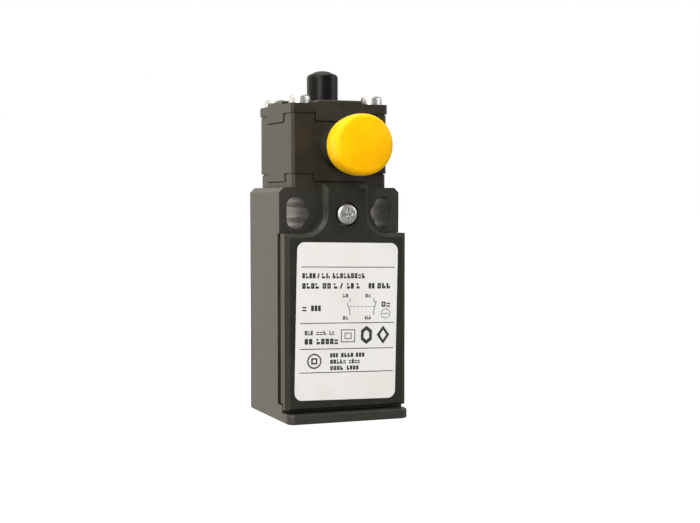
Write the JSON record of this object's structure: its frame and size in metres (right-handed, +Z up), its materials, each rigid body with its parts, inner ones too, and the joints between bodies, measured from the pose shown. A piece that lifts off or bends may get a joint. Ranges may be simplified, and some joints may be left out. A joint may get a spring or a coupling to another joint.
{
  "type": "limit switch",
  "caption": "Upright rectangular plastic limit switch with a domed top plunger, a front reset button, a lift-off front cover and a threaded cable entry underneath.",
  "frame": {"origin": "centre of the cable entry's mouth in the underside, on the plunger's axis", "axes": "+Z up along the plunger's axis, -Y out of the front cover and the reset button, +X to the right seen from the front"},
  "size_m": [0.03, 0.0408, 0.0823],
  "materials": {
    "black_case": "fine spark-eroded moulding texture, satin black",
    "black_cover": "fine spark-eroded moulding texture, satin black",
    "black_head": "fine moulding texture, satin black",
    "plunger_plastic": "smooth acetal, semi-gloss black",
    "bush_plastic": "smooth acetal, black",
    "yellow_button": "glossy moulded yellow",
    "white_label": "printed polyester film, satin white",
    "gasket_rubber": "moulded nitrile rubber",
    "zinc_screw": "bright zinc plating",
    "spring_steel": "drawn spring wire",
    "steel_pin": "ground steel",
    "brass_insert": "turned brass",
    "contact_brass": "stamped brass",
    "silver_tip": "silver contact rivet",
    "block_plastic": "grey thermoset moulding",
    "carrier_plastic": "orange-red moulding",
    "latch_plastic": "natural acetal"
  },
  "bodies": {
    "housing": {"body_shell": "black_case", "cover_screw_insert": "brass_insert", "head_base_block": "black_head", "head_gasket": "gasket_rubber", "head_retaining_clip": "spring_steel", "head_middle_block": "black_head", "head_cap": "black_head", "head_screws": "zinc_screw", "plunger_bush": "bush_plastic", "plunger_lip_seal": "gasket_rubber", "reset_collar": "black_head", "reset_seal": "gasket_rubber", "contact_block_base": "block_plastic", "contact_block_cover": "block_plastic", "contact_block_screws": "zinc_screw", "nc_contact_left": "contact_brass", "nc_contact_right": "contact_brass", "no_contact_left": "contact_brass", "no_contact_right": "contact_brass", "fixed_contact_tips": "silver_tip", "terminal_clamps": "zinc_screw", "terminal_screws": "zinc_screw", "plunger_spring": "spring_steel", "reset_spring": "spring_steel", "carrier_spring": "spring_steel"},
    "plunger": {"plunger": "plunger_plastic", "plunger_push_pin": "steel_pin", "plunger_retaining_ring": "spring_steel"},
    "carrier": {"contact_carrier": "carrier_plastic", "nc_bridge": "contact_brass", "no_bridge": "contact_brass", "nc_bridge_spring": "spring_steel", "no_bridge_spring": "spring_steel", "bridge_tips": "silver_tip"},
    "reset": {"reset_button": "yellow_button", "reset_stem": "steel_pin", "reset_retaining_ring": "spring_steel", "latch_slide": "latch_plastic"},
    "cover": {"front_cover": "black_cover", "cover_gasket": "gasket_rubber", "cover_screw": "zinc_screw", "cover_screw_washer": "zinc_screw", "rating_label": "white_label"}
  },
  "joints": [
    {"name": "plunger_slide", "type": "slide", "parent": "housing", "child": "plunger", "axis": [0, 0, -1], "range_m": [0, 0.005], "stiffness_N_per_m": 400, "springref_m": -0.004, "deforming": ["plunger_spring"]},
    {"name": "carrier_slide", "type": "slide", "parent": "housing", "child": "carrier", "axis": [0, 0, -1], "range_m": [0, 0.005], "deforming": ["carrier_spring"]},
    {"name": "reset_slide", "type": "slide", "parent": "housing", "child": "reset", "axis": [0, 1, 0], "range_m": [0, 0.004], "stiffness_N_per_m": 300, "springref_m": -0.004, "deforming": ["reset_spring"]},
    {"name": "cover_lift_off", "type": "slide", "parent": "housing", "child": "cover", "axis": [0, -1, 0], "range_m": [0, 0.02]}
  ],
  "couplings": [
    {"joint": "carrier_slide", "follows": "plunger_slide", "ratio": 1}
  ]
}
